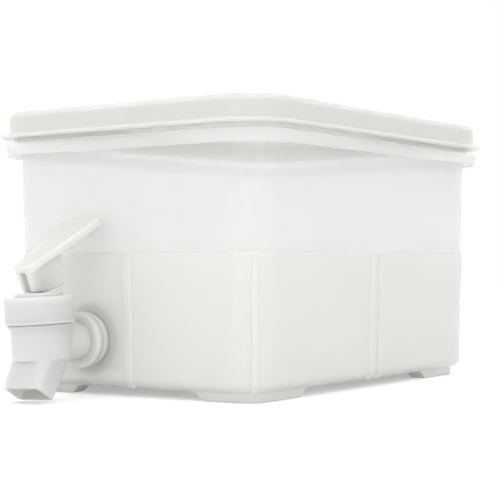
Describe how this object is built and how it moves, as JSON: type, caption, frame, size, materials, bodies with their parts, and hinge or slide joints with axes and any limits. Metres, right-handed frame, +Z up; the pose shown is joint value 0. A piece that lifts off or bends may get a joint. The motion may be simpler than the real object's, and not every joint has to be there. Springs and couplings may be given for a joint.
{
  "type": "fridge drinks dispenser",
  "caption": "Rectangular drinks dispenser: tapered frosted tank with ribs, feet and a turned-down rim, press-on lid with seal, and a spring-closed lever tap.",
  "frame": {"origin": "on the ground under the middle of the whole object's box, lid and tap included", "axes": "+X along the tap's wall to the right as seen from the tap side, +Y from the tap to the back (the long way), +Z up"},
  "size_m": [0.177, 0.284, 0.1428],
  "materials": {
    "tank_plastic": "frosted translucent moulded plastic, clearer and smoother in the upper half, finely textured below",
    "lid_plastic": "milky satin plastic",
    "tap_plastic": "opaque white moulded plastic, semi-gloss",
    "pale_rubber": "white silicone",
    "soft_seal": "clear to white silicone",
    "dark_rubber": "black ring, lightly greased",
    "washer_plastic": "smooth",
    "spring_steel": "stainless wire"
  },
  "bodies": {
    "container": {"tank": "tank_plastic", "tap_body": "tap_plastic", "outer_gasket": "pale_rubber", "inner_gasket": "pale_rubber", "shank_nut": "tap_plastic", "bonnet_cap": "tap_plastic", "bonnet_seal": "pale_rubber", "spring_washer": "washer_plastic", "return_spring": "spring_steel"},
    "cover": {"lid": "lid_plastic", "lid_seal": "soft_seal"},
    "plug": {"valve_plug": "pale_rubber"},
    "stem": {"valve_stem": "tap_plastic", "stem_ring": "dark_rubber", "lever_pin": "spring_steel"},
    "handle": {"lever": "tap_plastic"}
  },
  "joints": [
    {"name": "lid_lift", "type": "slide", "parent": "container", "child": "cover", "axis": [0, 0, 1], "range_m": [0, 0.06]},
    {"name": "stem_lift", "type": "slide", "parent": "container", "child": "plug", "axis": [-0.0436, -0.0284, 0.9986], "range_m": [0, 0.0034], "stiffness_N_per_m": 600, "springref_m": -0.003, "deforming": ["return_spring"]},
    {"name": "lever_swivel", "type": "hinge", "parent": "plug", "child": "stem", "pos_m": [-0.02633, -0.12585, 0.05746], "axis": [-0.0436, -0.0284, 0.9986], "continuous": true},
    {"name": "lever_pull", "type": "hinge", "parent": "stem", "child": "handle", "pos_m": [-0.02633, -0.12585, 0.05746], "axis": [0.9867, -0.1576, 0.0386], "range_deg": [0, 41]}
  ],
  "couplings": [
    {"joint": "lever_pull", "follows": "stem_lift", "rad_per_m": 205.33}
  ]
}
